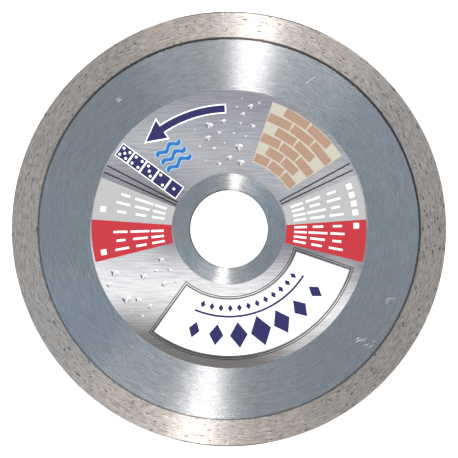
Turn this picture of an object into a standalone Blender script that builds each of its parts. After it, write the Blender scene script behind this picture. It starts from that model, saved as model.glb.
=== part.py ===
"""A continuous-rim diamond cutting blade for an angle grinder.

A thin steel plate with a spindle bore carries a ring of sintered metal bond on its keyed edge.
Diamond crystals sit in pockets in the bond, and a printed ring label is glued to the front of the plate.

Units are metres. +Z is the spindle axis and points out of the labelled side.
The blade lies on the back of its rim at z = 0, with the axis through the origin.
"""

import math

import bmesh
import bpy
from mathutils import Matrix, Vector

MM = 0.001

# Driving dimensions: the plate
BLADE_DIAMETER = 125.0 * MM
BORE_DIAMETER = 22.23 * MM
BORE_CHAMFER = 0.25 * MM
CORE_THICKNESS = 1.4 * MM
RELIEF_WIDTH = 0.45 * MM
RELIEF_DEPTH = 0.15 * MM

# Driving dimensions: the rim and the key that locks it to the plate
RIM_HEIGHT = 7.5 * MM
RIM_STAND = 0.4 * MM
RIM_OUTER_CHAMFER = 0.2 * MM
RIM_INNER_CHAMFER = 0.15 * MM
KEY_DEPTH = 2.5 * MM
NOTCH_COUNT = 36
NOTCH_DEPTH = 1.6 * MM
NOTCH_MOUTH = 3.4 * MM
NOTCH_FLOOR = 4.4 * MM
BOND_CLEARANCE = 0.05 * MM

# Driving dimensions: the label
BARE_RING_WIDTH = 4.9 * MM
BARE_BAND_WIDTH = 15.0 * MM
LABEL_THICKNESS = 0.1 * MM
ADHESIVE_THICKNESS = 0.03 * MM

# Driving dimensions: the diamond crystals
GRAIN_COUNT = 48
GRAIN_SIZE = 0.45 * MM
GRAIN_STAND = 0.05 * MM
GRAIN_CLEARANCE = 0.02 * MM
GRAIN_MARGIN = 0.7 * MM

# Facets of every turned face, and how far a cutter runs past the wall it cuts
ROUND_STEPS = 144
CUTTER_OVERRUN = 1.0 * MM

# Irrational steps that spread the crystals evenly without a visible row
GOLDEN_ANGLE = math.pi * (3.0 - math.sqrt(5.0))
RADIAL_STEP = math.sqrt(2.0) - 1.0
SMOOTH_ANGLE = math.radians(30.0)

# Sizes that follow from the driving dimensions
RIM_RADIUS = BLADE_DIAMETER / 2
RIM_INNER_RADIUS = RIM_RADIUS - RIM_HEIGHT
RIM_THICKNESS = CORE_THICKNESS + 2 * RIM_STAND
KEY_RADIUS = RIM_INNER_RADIUS + KEY_DEPTH
NOTCH_FLOOR_RADIUS = KEY_RADIUS - NOTCH_DEPTH
BORE_RADIUS = BORE_DIAMETER / 2
LABEL_BORE_RADIUS = BORE_RADIUS + BARE_RING_WIDTH
LABEL_RADIUS = RIM_INNER_RADIUS - BARE_BAND_WIDTH
CORE_FACE = CORE_THICKNESS / 2
RIM_FACE = RIM_THICKNESS / 2


def clear_scene():
    for obj in list(bpy.data.objects):
        bpy.data.objects.remove(obj, do_unlink=True)


def make_material(name, colour, roughness, metallic):
    material = bpy.data.materials.new(name)
    material.use_nodes = True
    shader = material.node_tree.nodes["Principled BSDF"]
    shader.inputs["Base Color"].default_value = (*colour, 1.0)
    shader.inputs["Roughness"].default_value = roughness
    shader.inputs["Metallic"].default_value = metallic
    return material


def mesh_from(name, builder):
    """A mesh of a filled bmesh, with its faces turned outwards and its round faces shaded smooth."""
    bmesh.ops.recalc_face_normals(builder, faces=builder.faces)
    mesh = bpy.data.meshes.new(name)
    builder.to_mesh(mesh)
    builder.free()
    mesh.shade_smooth()
    mesh.set_sharp_from_angle(angle=SMOOTH_ANGLE)
    return mesh


def add_piece(name, mesh, parent, material=None):
    """Links a piece to the scene on its parent.

    A piece without a material is a cutter, which isn't part of the blade.
    """
    piece = bpy.data.objects.new(name, mesh)
    bpy.context.scene.collection.objects.link(piece)
    piece.parent = parent
    if material is None:
        piece.hide_render = True
        piece.display_type = "WIRE"
    else:
        if not mesh.materials:
            mesh.materials.append(material)
    return piece


def cut(piece, name, cutter):
    modifier = piece.modifiers.new(name, "BOOLEAN")
    modifier.operation = "DIFFERENCE"
    modifier.object = cutter


def both_sides(upper):
    """A closed section from its upper half, which runs outwards from the bore to the edge."""
    return upper + [(radius, -height) for radius, height in reversed(upper)]


def turned_mesh(name, section):
    """Spins a closed section of (radius, height) points once about the blade's axis."""
    builder = bmesh.new()
    points = [builder.verts.new((radius, 0.0, height)) for radius, height in section]
    edges = [builder.edges.new((a, b)) for a, b in zip(points, points[1:] + points[:1])]
    bmesh.ops.spin(
        builder,
        geom=points + edges,
        cent=(0.0, 0.0, 0.0),
        axis=(0.0, 0.0, 1.0),
        angle=2 * math.pi,
        steps=ROUND_STEPS,
        use_merge=True,
    )
    return mesh_from(name, builder)


def notch_mesh(name, inset):
    """The dovetail prisms of the plate's edge, drawn in by inset: narrow at the mouth, wide at the floor."""
    builder = bmesh.new()
    floor = NOTCH_FLOOR_RADIUS + inset
    reach = KEY_RADIUS + CUTTER_OVERRUN
    splay = (NOTCH_FLOOR - NOTCH_MOUTH) / 2 / NOTCH_DEPTH
    floor_half = NOTCH_FLOOR / 2 - inset - splay * inset
    reach_half = floor_half - splay * (reach - floor)
    depth = CORE_FACE + CUTTER_OVERRUN
    outline = [(floor, -floor_half), (reach, -reach_half), (reach, reach_half), (floor, floor_half)]
    for index in range(NOTCH_COUNT):
        turn = Matrix.Rotation(2 * math.pi * index / NOTCH_COUNT, 4, "Z")
        face = builder.faces.new([builder.verts.new(turn @ Vector((x, y, -depth))) for x, y in outline])
        grown = bmesh.ops.extrude_face_region(builder, geom=[face])["geom"]
        raised = [item for item in grown if isinstance(item, bmesh.types.BMVert)]
        bmesh.ops.translate(builder, verts=raised, vec=(0.0, 0.0, 2 * depth))
    return mesh_from(name, builder)


def add_crystal(builder, size, place=Matrix.Identity(4)):
    """A cubo-octahedron, the usual form of a saw diamond, measured across its square faces."""
    half = size / 2
    corners = [
        builder.verts.new(place @ Vector(corner))
        for a in (-half, half)
        for b in (-half, half)
        for corner in ((a, b, 0.0), (0.0, a, b), (b, 0.0, a))
    ]
    bmesh.ops.convex_hull(builder, input=corners)


def crystal_mesh(name, size):
    builder = bmesh.new()
    add_crystal(builder, size)
    bmesh.ops.dissolve_limit(builder, angle_limit=SMOOTH_ANGLE, verts=builder.verts, edges=builder.edges)
    return mesh_from(name, builder)


def share(index):
    """A number from 0 to 1 that jumps about evenly as index counts up."""
    return index * RADIAL_STEP % 1.0


def grain_place(index):
    """Where a crystal sits: in turn on the front face, on the cutting edge and on the back face of the rim.

    The side faces are ground to size, so a crystal there is flush.
    The edge is dressed, so a crystal there stands proud.
    """
    angle = index * GOLDEN_ANGLE
    around = Matrix.Rotation(angle, 4, "Z")
    spin = Matrix.Rotation(angle, 4, "Z")
    sunk = GRAIN_SIZE / 2
    inside = KEY_RADIUS + GRAIN_MARGIN
    radius = inside + (RIM_RADIUS - GRAIN_MARGIN - inside) * share(index)
    if index % 3 == 0:
        return around @ Matrix.Translation((radius, 0.0, RIM_FACE - sunk)) @ spin
    if index % 3 == 2:
        return around @ Matrix.Translation((radius, 0.0, sunk - RIM_FACE)) @ spin
    room = RIM_THICKNESS - 2 * RIM_OUTER_CHAMFER - 2 * GRAIN_SIZE
    height = room * (share(index) - 0.5)
    outwards = Matrix.Rotation(math.pi / 2, 4, "Y")
    return around @ Matrix.Translation((RIM_RADIUS + GRAIN_STAND - sunk, 0.0, height)) @ outwards @ spin


def build_core(blade):
    """The steel plate: a chamfered bore, a relief groove beside the rim, and dovetail notches in the edge."""
    relief_start = RIM_INNER_RADIUS - RELIEF_WIDTH
    upper = [
        (BORE_RADIUS, CORE_FACE - BORE_CHAMFER),
        (BORE_RADIUS + BORE_CHAMFER, CORE_FACE),
        (relief_start, CORE_FACE),
        (relief_start + RELIEF_DEPTH, CORE_FACE - RELIEF_DEPTH),
        (RIM_INNER_RADIUS, CORE_FACE - RELIEF_DEPTH),
        (RIM_INNER_RADIUS, CORE_FACE),
        (KEY_RADIUS, CORE_FACE),
    ]
    steel = make_material("ground_steel", (0.36, 0.40, 0.44), 0.35, 1.0)
    core = add_piece("steel_core", turned_mesh("steel_core", both_sides(upper)), blade, steel)
    notches = add_piece("core_notches", notch_mesh("core_notches", 0.0), blade)
    cut(core, "notches", notches)


def build_rim(blade):
    """The bond ring: it clasps the plate's edge on both sides, fills the notches and holds the crystals."""
    upper = [
        (RIM_INNER_RADIUS, RIM_FACE - RIM_INNER_CHAMFER),
        (RIM_INNER_RADIUS + RIM_INNER_CHAMFER, RIM_FACE),
        (RIM_RADIUS - RIM_OUTER_CHAMFER, RIM_FACE),
        (RIM_RADIUS, RIM_FACE - RIM_OUTER_CHAMFER),
    ]
    keyway_face = CORE_FACE + BOND_CLEARANCE
    keyway = [
        (RIM_INNER_RADIUS - CUTTER_OVERRUN, keyway_face),
        (KEY_RADIUS + BOND_CLEARANCE, keyway_face),
    ]
    bond = make_material("sintered_bond", (0.33, 0.31, 0.28), 0.55, 1.0)
    rim = add_piece("diamond_rim", turned_mesh("diamond_rim", both_sides(upper)), blade, bond)
    slot = add_piece("rim_keyway", turned_mesh("rim_keyway", both_sides(keyway)), blade)
    webs = add_piece("bond_webs", notch_mesh("bond_webs", BOND_CLEARANCE), blade)
    cut(slot, "webs", webs)
    cut(rim, "keyway", slot)

    builder = bmesh.new()
    for index in range(GRAIN_COUNT):
        add_crystal(builder, GRAIN_SIZE + 2 * GRAIN_CLEARANCE, grain_place(index))
    pockets = add_piece("grain_pockets", mesh_from("grain_pockets", builder), blade)
    cut(rim, "pockets", pockets)


def build_grains(blade):
    """The crystals that show on the rim, each in its own pocket."""
    diamond = make_material("saw_diamond", (0.62, 0.60, 0.42), 0.15, 0.0)
    crystal = crystal_mesh("diamond_grain", GRAIN_SIZE)
    for index in range(GRAIN_COUNT):
        grain = add_piece(f"diamond_grain_{index + 1:02d}", crystal, blade, diamond)
        location, rotation, _ = grain_place(index).decompose()
        grain.location = location
        grain.rotation_euler = rotation.to_euler()


def build_label(blade):
    """The printed film ring on the front of the plate, one layer of adhesive above the steel."""
    back = CORE_FACE + ADHESIVE_THICKNESS
    front = back + LABEL_THICKNESS
    section = [
        (LABEL_BORE_RADIUS, back),
        (LABEL_BORE_RADIUS, front),
        (LABEL_RADIUS, front),
        (LABEL_RADIUS, back),
    ]
    film = make_material("printed_film", (0.62, 0.62, 0.63), 0.4, 0.0)
    add_piece("label", turned_mesh("label", section), blade, film)


def main():
    clear_scene()
    blade = bpy.data.objects.new("blade", None)
    bpy.context.scene.collection.objects.link(blade)
    blade.location = (0.0, 0.0, RIM_FACE)
    build_core(blade)
    build_rim(blade)
    build_grains(blade)
    build_label(blade)


main()
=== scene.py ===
# %% [markdown]
# # A continuous-rim diamond blade, step by step
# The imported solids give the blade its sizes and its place. This lesson dresses them: finer turned pieces,
# a rim with real pits and grit, a printed ring label, and metal finishes that follow the circular
# grinding of the real blade. The first cell loads the solids and keeps their box, which the finished
# blade must not outgrow.

# %% Load the solids
import math
import random

import bmesh
import bpy
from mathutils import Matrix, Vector


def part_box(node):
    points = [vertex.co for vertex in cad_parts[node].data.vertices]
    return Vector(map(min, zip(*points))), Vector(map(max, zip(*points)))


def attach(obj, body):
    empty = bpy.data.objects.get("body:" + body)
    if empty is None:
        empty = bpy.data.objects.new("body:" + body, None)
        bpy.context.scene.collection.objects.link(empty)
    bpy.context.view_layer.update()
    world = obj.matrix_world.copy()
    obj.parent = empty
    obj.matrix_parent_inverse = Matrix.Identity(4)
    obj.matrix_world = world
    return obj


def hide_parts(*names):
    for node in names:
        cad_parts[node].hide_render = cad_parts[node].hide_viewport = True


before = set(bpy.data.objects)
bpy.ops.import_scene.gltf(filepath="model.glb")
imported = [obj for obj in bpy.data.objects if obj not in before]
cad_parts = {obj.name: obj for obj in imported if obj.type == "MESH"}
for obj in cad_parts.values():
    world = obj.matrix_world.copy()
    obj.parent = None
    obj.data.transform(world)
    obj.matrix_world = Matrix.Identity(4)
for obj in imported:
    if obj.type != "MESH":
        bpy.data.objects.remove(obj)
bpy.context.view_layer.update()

MM = 0.001
scene = bpy.context.scene


def in_mm(lengths, digits=3):
    return [round(length / MM, digits) for length in lengths]


# %% [markdown]
# ## Sizes
# A turned piece is known from its radii and its heights. All heights, and the outer radii of plate and
# label, are read from the solids, so a piece sits where its solid sits. A hole inside a ring doesn't show
# in the ring's box, so the inner radii are written here, and the rim's width with them.

# %% Sizes of the blade
BORE_RADIUS = 11.115 * MM
LABEL_BORE_RADIUS = 16.015 * MM
RIM_INNER_RADIUS = 55.0 * MM
RIM_WIDTH = 7.5 * MM

RIM_LOW, RIM_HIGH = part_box("diamond_rim")
CORE_LOW, CORE_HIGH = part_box("steel_core")
LABEL_LOW, LABEL_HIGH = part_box("label")
RIM_RADIUS = RIM_INNER_RADIUS + RIM_WIDTH
KEY_RADIUS = CORE_HIGH.x
LABEL_RADIUS = LABEL_HIGH.x
print("rim, key and label radius in mm:", in_mm((RIM_RADIUS, KEY_RADIUS, LABEL_RADIUS)))

# %% [markdown]
# ## Camera
# The blade is seen square on, as it lies on a table under a camera on a tall stand. A long lens keeps the
# sides of the rim and the wall of the bore out of sight. The frame is as wide as the blade plus a narrow
# white border.

# %% Camera over the blade
FRAME_WIDTH = 131.6 * MM
CAMERA_HEIGHT = 0.9

camera_data = bpy.data.cameras.new("stand_camera")
camera_data.sensor_width = 36.0
camera_data.lens = camera_data.sensor_width * (CAMERA_HEIGHT - RIM_HIGH.z) / FRAME_WIDTH
camera_data.clip_start = 0.01
camera_data.clip_end = 20.0
camera = bpy.data.objects.new("stand_camera", camera_data)
camera.location = (0.0, 0.0, CAMERA_HEIGHT)
scene.collection.objects.link(camera)
scene.camera = camera
print("lens in mm:", round(camera_data.lens))

# %% [markdown]
# ## Building nodes
# The room, every finish and every rule-made shape below are small graphs of nodes. Wiring them one call
# at a time would hide what they do, so a few helpers set a node's inputs, add a node, add a step of
# arithmetic and turn one range into another. They work in shader trees and in geometry trees.

# %% Node helpers
def set_inputs(tree, node, inputs):
    """Links each input that is given a socket, and sets each that is given a plain value."""
    for name, value in inputs.items():
        if isinstance(value, bpy.types.NodeSocket):
            tree.links.new(value, node.inputs[name])
        else:
            node.inputs[name].default_value = value


def add_node(tree, kind, inputs=None, **settings):
    """A new node. Its settings come first, because some of them decide which inputs it has."""
    node = tree.nodes.new(kind)
    for name, value in settings.items():
        setattr(node, name, value)
    set_inputs(tree, node, inputs or {})
    return node


def calculate(tree, operation, *values):
    return add_node(tree, "ShaderNodeMath", dict(enumerate(values)), operation=operation).outputs[0]


def vector_math(tree, operation, inputs):
    return add_node(tree, "ShaderNodeVectorMath", inputs, operation=operation).outputs


def split_vector(tree, vector):
    return add_node(tree, "ShaderNodeSeparateXYZ", {0: vector}).outputs


def join_vector(tree, **axes):
    return add_node(tree, "ShaderNodeCombineXYZ", axes).outputs[0]


def remap(tree, value, low, high, to_low=0.0, to_high=1.0, smooth=True):
    """Turns the range low to high into the range to_low to to_high, and holds it at both ends."""
    inputs = {"Value": value, 1: low, 2: high, 3: to_low, 4: to_high}
    kind = "SMOOTHSTEP" if smooth else "LINEAR"
    return add_node(tree, "ShaderNodeMapRange", inputs, interpolation_type=kind).outputs["Result"]


print("node helpers are ready")

# %% [markdown]
# ## Light
# A disc that is ground in circles shines along one line through its middle: the line that points at the
# lamp. The grooves spread the light outwards and inwards, and hardly at all along themselves. So two
# narrow softboxes, a little to the right of the top and a little to the left of the bottom, make the
# bright bow-tie, and a pale room lights the rest. The room is a little brighter at the upper right, so
# small steps and grooves get a light side and a dark side. Broad weak panels tint the parts between.

# %% Room
ROOM_STRENGTH = 1.0
ROOM_COLOUR = (0.955, 1.0, 1.05, 1.0)
BRIGHT_SIDE = (0.35, 0.35, 0.0)
scene.view_settings.view_transform = "Standard"

world = bpy.data.worlds.new("pale_room")
world.use_nodes = True
room = world.node_tree
way = add_node(room, "ShaderNodeTexCoord").outputs["Generated"]
lean = vector_math(room, "DOT_PRODUCT", {0: way, 1: BRIGHT_SIDE})["Value"]
set_inputs(room, room.nodes["Background"], {
    "Color": ROOM_COLOUR,
    "Strength": calculate(room, "ADD", lean, ROOM_STRENGTH),
})
scene.world = world
print("room:", world.name)

# %% Panels
LAMP_COLOUR = (1.0, 0.905, 0.855)
NARROW = {"zenith": 40.0, "size": (0.06, 0.60)}
BROAD = {"zenith": 42.0, "size": (0.50, 0.55)}
NEARBY = {"zenith": 50.0, "distance": 0.5}


def add_panel(name, clock, power, colour, zenith=45.0, distance=1.6, size=(0.50, 0.60)):
    """A softbox aimed at the blade's middle, at a clock angle and so many degrees down from overhead."""
    data = bpy.data.lights.new(name, "AREA")
    data.shape = "RECTANGLE"
    data.size, data.size_y = size
    data.energy = power
    data.color = colour
    panel = bpy.data.objects.new(name, data)
    turn = math.radians(clock)
    tilt = math.radians(zenith)
    aim = Vector((math.sin(tilt) * math.sin(turn), math.sin(tilt) * math.cos(turn), math.cos(tilt)))
    panel.location = aim * distance
    panel.rotation_mode = "QUATERNION"
    panel.rotation_quaternion = aim.to_track_quat("Z", "Y")
    scene.collection.objects.link(panel)


add_panel("key_softbox", clock=7.8, power=12.4, colour=LAMP_COLOUR, **NARROW)
add_panel("low_softbox", clock=188.0, power=11.4, colour=LAMP_COLOUR, **NARROW)
add_panel("side_panel", clock=28.0, power=3.1, colour=(1.0, 0.99, 0.98), **BROAD)
add_panel("low_side_panel", clock=209.5, power=4.15, colour=(1.0, 0.885, 0.85), **BROAD)
add_panel("cool_panel", clock=52.0, power=0.55, colour=(0.33, 0.70, 1.0))
add_panel("low_cool_panel", clock=238.0, power=0.33, colour=(0.45, 0.71, 1.0), size=(0.24, 0.20), **NEARBY)
add_panel("left_panel", clock=268.0, power=0.17, colour=(0.85, 0.93, 1.0), size=(0.30, 0.25), **NEARBY)
add_panel("warm_panel", clock=345.5, power=3.7, colour=(1.0, 0.87, 0.77))

# %% [markdown]
# ## A wrap-around pattern
# Circular grinding leaves marks that are long round the disc and short across it. A noise texture does
# that if it reads where a point lies round the circle and how far out it is, or how far down on the edge.
# The angle itself would leave a seam where it jumps from 360 to 0, so the pattern reads its cosine and
# sine. It works in both kinds of tree.

# %% Wrapped coordinates
def wrapped(tree, position, round_scale, across_scale):
    """A vector that changes by round_scale a radian round and by across_scale a metre outwards or down."""
    parts = split_vector(tree, position)
    squares = [calculate(tree, "MULTIPLY", parts[axis], parts[axis]) for axis in ("X", "Y")]
    radius = calculate(tree, "SQRT", calculate(tree, "ADD", *squares))
    cosine = calculate(tree, "DIVIDE", parts["X"], radius)
    sine = calculate(tree, "DIVIDE", parts["Y"], radius)
    across = calculate(tree, "SUBTRACT", radius, parts["Z"])
    vector = join_vector(
        tree, X=calculate(tree, "MULTIPLY", cosine, round_scale),
        Y=calculate(tree, "MULTIPLY", sine, round_scale),
        Z=calculate(tree, "MULTIPLY", across, across_scale))
    return vector, radius


print("wrapped coordinates are ready")

# %% [markdown]
# ## Shared effects
# Steel and bond are both ground in circles and both sparkle with a fine grain. The rim has pits in two
# sizes, and dark scale, dirt and painted shade lie in corners, heavier on one side of the blade than on
# the other. So these four effects are shader groups. Each group gives back plain values, and each finish
# decides what to do with them.

# %% Shader groups for grinding marks and grain
GRAIN_TURN = (0.6, 0.5, 0.7)


def add_socket(tree, way, name, kind, value=None):
    socket = tree.interface.new_socket(name, in_out=way, socket_type=f"NodeSocket{kind}")
    if value is not None:
        socket.default_value = value


def shader_group(name, inputs, outputs):
    """An empty group: its tree, its inputs, its outputs, and the place of a point on the piece."""
    group = bpy.data.node_groups.new(name, "ShaderNodeTree")
    for label, value in inputs.items():
        add_socket(group, "INPUT", label, "Float", value)
    for label in outputs:
        add_socket(group, "OUTPUT", label, "Float")
    start = group.nodes.new("NodeGroupInput")
    end = group.nodes.new("NodeGroupOutput")
    place = add_node(group, "ShaderNodeTexCoord").outputs["Object"]
    return group, start.outputs, end.inputs, place


def grinding_group():
    group, given, result, place = shader_group(
        "Grinding marks", {"Round": 6.0, "Across": 9000.0, "Detail": 3.0}, ["Mark", "Radius"])
    vector, radius = wrapped(group, place, given["Round"], given["Across"])
    noise = add_node(group, "ShaderNodeTexNoise", {
        "Vector": vector, "Scale": 1.0, "Detail": given["Detail"], "Roughness": 0.6})
    group.links.new(noise.outputs[0], result["Mark"])
    group.links.new(radius, result["Radius"])
    return group


def grain_group():
    """An even sparkle. It is turned, so that its own rows don't line up with the blade or with a picture."""
    group, given, result, place = shader_group("Fine grain", {"Scale": 2600.0}, ["Grain"])
    turned = add_node(group, "ShaderNodeMapping", {"Vector": place, "Rotation": GRAIN_TURN})
    noise = add_node(group, "ShaderNodeTexNoise", {
        "Vector": turned.outputs[0], "Scale": given["Scale"], "Detail": 0.0})
    group.links.new(noise.outputs[0], result["Grain"])
    return group


GRINDING = grinding_group()
GRAIN = grain_group()
print("shader groups:", GRINDING.name, GRAIN.name)

# %% Shader groups for pits and for sides of the blade
EMPTY_CELLS = 0.3
PIT_FLOOR = 0.4
PIT_LIP = 0.001


def pit_mask(tree, position, round_scale, across_scale, size):
    """1 inside a pit and 0 outside. Three cells in ten have none, and no two pits are alike."""
    vector, _ = wrapped(tree, position, round_scale, across_scale)
    cells = add_node(tree, "ShaderNodeTexVoronoi", {"Vector": vector, "Scale": 1.0})
    pick = split_vector(tree, cells.outputs["Color"])["X"]
    reach = calculate(tree, "MULTIPLY", size, remap(tree, pick, EMPTY_CELLS, 1.0, smooth=False))
    near = calculate(tree, "MULTIPLY", reach, PIT_FLOOR)
    far = calculate(tree, "ADD", reach, PIT_LIP)
    return remap(tree, cells.outputs["Distance"], near, far, 1.0, 0.0)


def pit_group():
    group, given, result, place = shader_group(
        "Pits", {"Round": 57.0, "Across": 2200.0, "Size": 0.24}, ["Pit"])
    pit = pit_mask(group, place, given["Round"], given["Across"], given["Size"])
    group.links.new(pit, result["Pit"])
    return group


def side_group():
    """A value that is Most at one clock angle round the blade and falls to Least opposite it."""
    group, given, result, place = shader_group(
        "Share by side", {"Clock": 30.0, "Least": 0.0, "Most": 1.0}, ["Share"])
    turn = calculate(group, "RADIANS", given["Clock"])
    sides, _ = wrapped(group, place, 1.0, 0.0)
    facing = join_vector(group, X=calculate(group, "SINE", turn), Y=calculate(group, "COSINE", turn))
    lean = vector_math(group, "DOT_PRODUCT", {0: sides, 1: facing})["Value"]
    group.links.new(remap(group, lean, -1.0, 1.0, given["Least"], given["Most"]), result["Share"])
    return group


PITS = pit_group()
SIDE = side_group()
print("shader groups:", PITS.name, SIDE.name)

# %% [markdown]
# ## Helpers for finishes
# Each finish starts from Blender's Principled shader and mixes its colour step by step. A noise texture
# hardly leaves the range from 0.3 to 0.7, so one helper spreads it. Others limit an effect to one side of
# the blade or to a span of degrees round it, and brush a metal in circles. For that the gloss is
# stretched: the shader's tangent follows the grooves, and its anisotropy spreads the highlight across
# them.

# %% Mixing and placing
def start_material(name):
    material = bpy.data.materials.new(name)
    material.use_nodes = True
    tree = material.node_tree
    return material, tree, tree.nodes["Principled BSDF"]


def use_group(tree, group, **values):
    return add_node(tree, "ShaderNodeGroup", values, node_tree=group).outputs


def mix_colours(tree, amount, first, second, blend="MIX"):
    """Mixes two colours. A Mix node has several inputs of each name, so these go by number."""
    inputs = {0: amount, 6: first, 7: second}
    return add_node(tree, "ShaderNodeMix", inputs, data_type="RGBA", blend_type=blend).outputs[2]


def spread(tree, noise, least=0.0, most=1.0):
    return remap(tree, noise, 0.3, 0.7, least, most)


def fade_by_side(tree, mask, clock, least):
    """A mask that is whole at a clock angle and weakens to a least share opposite it."""
    share = use_group(tree, SIDE, Clock=clock, Least=least, Most=1.0)["Share"]
    return calculate(tree, "MULTIPLY", mask, share)


def within(tree, clock, near, far):
    """1 up to near degrees from a clock angle, and 0 beyond far degrees from it."""
    facing = [(1 + math.cos(math.radians(angle))) / 2 for angle in (far, near)]
    low, high = [value * value * (3 - 2 * value) for value in facing]
    return remap(tree, use_group(tree, SIDE, Clock=clock)["Share"], low, high)


def tint_spans(tree, tone, tint, *spans):
    """Tints a tone in spans round the blade, each with the clock, near and far of within."""
    for span in spans:
        tone = mix_colours(tree, within(tree, **span), tone, tint, "MULTIPLY")
    return tone


print("mixing helpers are ready")

# %% Brushing and grain
UPWARDS = (0.0, 0.0, 1.0)
QUARTER_TURN = 0.25


def brush_in_circles(tree, shader, metallic, centre=(0.0, 0.0, 0.0), spiral=0.0):
    """Spreads the gloss across grooves round a centre: circles, or a slight spiral of so many degrees."""
    place = add_node(tree, "ShaderNodeTexCoord").outputs["Object"]
    outwards = vector_math(tree, "SUBTRACT", {0: place, 1: centre})["Vector"]
    along = vector_math(tree, "CROSS_PRODUCT", {0: UPWARDS, 1: outwards})["Vector"]
    set_inputs(tree, shader, {
        "Metallic": metallic,
        "Anisotropic": 1.0,
        "Anisotropic Rotation": QUARTER_TURN + spiral / 360.0,
        "Tangent": vector_math(tree, "NORMALIZE", {0: along})["Vector"],
    })


def raise_grain(tree, shader, grain, height):
    """Gives a finish the tiny relief of its grain, which makes the sparkle."""
    bump = add_node(tree, "ShaderNodeBump", {"Height": grain, "Strength": 1.0, "Distance": height})
    set_inputs(tree, shader, {"Normal": bump.outputs[0]})


print("brushing helpers are ready")

# %% [markdown]
# ## Ground steel
# The plate is tool steel, ground flat on a turning table. It is a mirror broken into fine grooves, so it
# is fully metallic. Colour and roughness vary a little from groove to groove. Towards the bore, which
# flanges and hands have rubbed, rings of paler and duller metal show. Where the highlight lies the steel
# has a warmer tint, which is a painted highlight colour. The relief groove beside the rim is never ground:
# it keeps its dark scale, and painted shadow of the rim's step darkens it more. Together they make the thin
# dark line there, widest near the top and strongest at the upper right. Painted shade darkens the edge of
# the bore, most towards the left.

# %% Steel finish
DARK_GROOVE = (0.176, 0.198, 0.216, 1)
LIGHT_GROOVE = (0.242, 0.268, 0.291, 1)
EVEN_STEEL = (0.208, 0.232, 0.253, 1)
WORN_DARK = (0.196, 0.216, 0.234, 1)
WORN_LIGHT = (0.276, 0.300, 0.320, 1)
STEEL_HIGHLIGHT_TINT = (1.03, 0.985, 0.955, 1)
SCALE_AND_SHADOW = (0.068, 0.066, 0.065, 1)
BORE_EDGE_SHADE = (0.02, 0.02, 0.02, 1)
SCALE_SHADOW_START = 54.62 * MM
SCALE_SHADOW_WANDER = 0.12 * MM
TOP_SHADOW_SPREAD = 0.22 * MM
SCALE_SHADOW_BLUR = 0.15 * MM
BORE_SHADE_FULL = BORE_RADIUS + 0.2 * MM
BORE_SHADE_END = BORE_RADIUS + 0.35 * MM
MOST_WEAR = 0.6
STEEL_RELIEF = 0.0079 * MM


def scale_and_shadow_line(tree, radius):
    """Dark scale and painted shadow: a line with a wandering inner edge, widest at the top, strongest upper
    right.
    """
    wander = use_group(tree, GRINDING, Round=40.0, Across=300.0, Detail=2.0)["Mark"]
    start = calculate(tree, "ADD", remap(tree, wander, 0.2, 0.8, -SCALE_SHADOW_WANDER, SCALE_SHADOW_WANDER), SCALE_SHADOW_START)
    shadow_widest = calculate(tree, "POWER", use_group(tree, SIDE, Clock=5.0)["Share"], 3.0)
    start = calculate(tree, "MULTIPLY_ADD", shadow_widest, -TOP_SHADOW_SPREAD, start)
    line = remap(tree, radius, start, calculate(tree, "ADD", start, SCALE_SHADOW_BLUR))
    return fade_by_side(tree, line, clock=30.0, least=0.45)


def steel_material():
    material, tree, shader = start_material("ground_steel_finish")
    brush_in_circles(tree, shader, metallic=1.0)
    fine = use_group(tree, GRINDING, Round=15.0, Across=2700.0, Detail=4.0)
    broad = use_group(tree, GRINDING, Round=2.2, Across=500.0, Detail=2.0)
    ring = use_group(tree, GRINDING, Round=4.0, Across=2600.0, Detail=3.0)["Mark"]
    grain = use_group(tree, GRAIN, Scale=7000.0)["Grain"]
    radius = fine["Radius"]

    tone = mix_colours(tree, spread(tree, fine["Mark"]), DARK_GROOVE, LIGHT_GROOVE)
    tone = mix_colours(tree, spread(tree, broad["Mark"], 0.0, 0.4), tone, EVEN_STEEL)
    worn = remap(tree, radius, LABEL_BORE_RADIUS, LABEL_RADIUS, MOST_WEAR, 0.0)
    tone = mix_colours(tree, worn, tone, mix_colours(tree, spread(tree, ring), WORN_DARK, WORN_LIGHT))
    tone = mix_colours(tree, 1.0, tone, spread(tree, grain, 0.95, 1.05), "MULTIPLY")
    # Painted highlight colour: a warmer tint in the two spans where the bright spokes lie.
    tone = tint_spans(
        tree, tone, STEEL_HIGHLIGHT_TINT,
        {"clock": 5.0, "near": 12.0, "far": 20.0}, {"clock": 183.0, "near": 16.0, "far": 26.0})
    # Dark scale in the relief groove, with painted shadow of the rim's step laid over it.
    tone = mix_colours(tree, scale_and_shadow_line(tree, radius), tone, SCALE_AND_SHADOW)
    # Painted shade: the edge of the bore is darkened, most towards the left.
    bore_shade = remap(tree, radius, BORE_SHADE_FULL, BORE_SHADE_END, 1.0, 0.0)
    tone = mix_colours(tree, fade_by_side(tree, bore_shade, clock=290.0, least=0.2), tone, BORE_EDGE_SHADE)

    gloss = spread(tree, fine["Mark"], 0.236, 0.268)
    gloss = calculate(tree, "MULTIPLY_ADD", worn, spread(tree, ring, 0.0, 0.12), gloss)
    gloss = calculate(tree, "ADD", gloss, spread(tree, grain, 0.0, 0.014))
    set_inputs(tree, shader, {"Base Color": tone, "Roughness": gloss})
    raise_grain(tree, shader, grain, STEEL_RELIEF)
    return material


STEEL = steel_material()
print("finish:", STEEL.name)
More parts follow.
